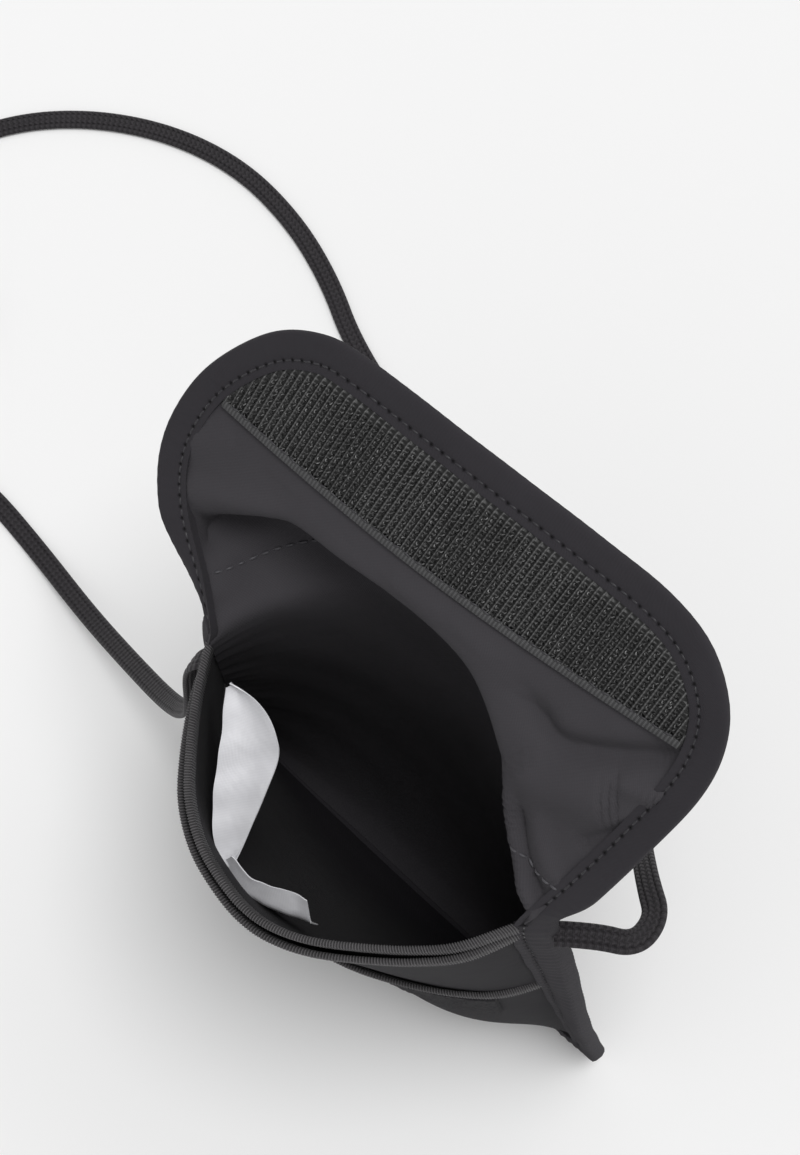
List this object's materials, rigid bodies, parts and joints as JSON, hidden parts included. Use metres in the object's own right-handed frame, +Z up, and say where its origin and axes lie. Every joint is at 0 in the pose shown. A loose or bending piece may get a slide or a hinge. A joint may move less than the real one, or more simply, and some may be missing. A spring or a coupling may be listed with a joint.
{
  "type": "neck pouch wallet",
  "caption": "Flat fabric travel pouch that hangs from a neck cord, with a hook-and-loop flap, a main pocket and slim pockets on its front, shown standing open.",
  "frame": {"origin": "middle of the bottom seam's lower edge, on the surface it stands on, in the plane of the side seams", "axes": "+X along the mouth from left to right, +Y towards the back and the flap, +Z up"},
  "size_m": [0.3507, 0.1673, 0.2003],
  "materials": {
    "shell_fabric": "fine matte twill, near black",
    "lining_fabric": "fine plain weave, near black",
    "ribbed_tape": "ribbed grosgrain tape",
    "hook_tape": "rows of moulded hooks on woven tape",
    "loop_tape": "brushed loops",
    "thread": "polyester thread",
    "label_satin": "white satin",
    "cord_braid": "flat braided elastic",
    "tie_elastic": "matte elastic band"
  },
  "bodies": {
    "pouch": {"back_panel": "shell_fabric", "back_lining": "lining_fabric", "front_panel": "shell_fabric", "slip_pocket_panel": "shell_fabric", "front_pocket_panel": "shell_fabric", "mouth_edge_tape": "ribbed_tape", "slip_pocket_edge_tape": "ribbed_tape", "front_pocket_edge_tape": "ribbed_tape", "loop_strip": "loop_tape", "body_binding": "shell_fabric", "body_stitching": "thread", "flap_fold": "shell_fabric", "care_label_leaf_1": "label_satin", "care_label_leaf_2": "label_satin", "cord_left": "cord_braid", "cord_right": "cord_braid", "cord_coil": "cord_braid", "coil_tie": "tie_elastic"},
    "flap": {"flap_panel": "shell_fabric", "flap_lining": "lining_fabric", "flap_binding": "shell_fabric", "flap_stitching": "thread", "lining_seam_stitching": "thread", "hook_strip": "hook_tape", "hook_strip_stitching": "thread"}
  },
  "joints": [
    {"name": "flap_hinge", "type": "hinge", "parent": "pouch", "child": "flap", "pos_m": [0, 0, 0.1456], "axis": [1, 0, 0], "range_deg": [-38, 141], "deforming": ["flap_fold"]}
  ]
}
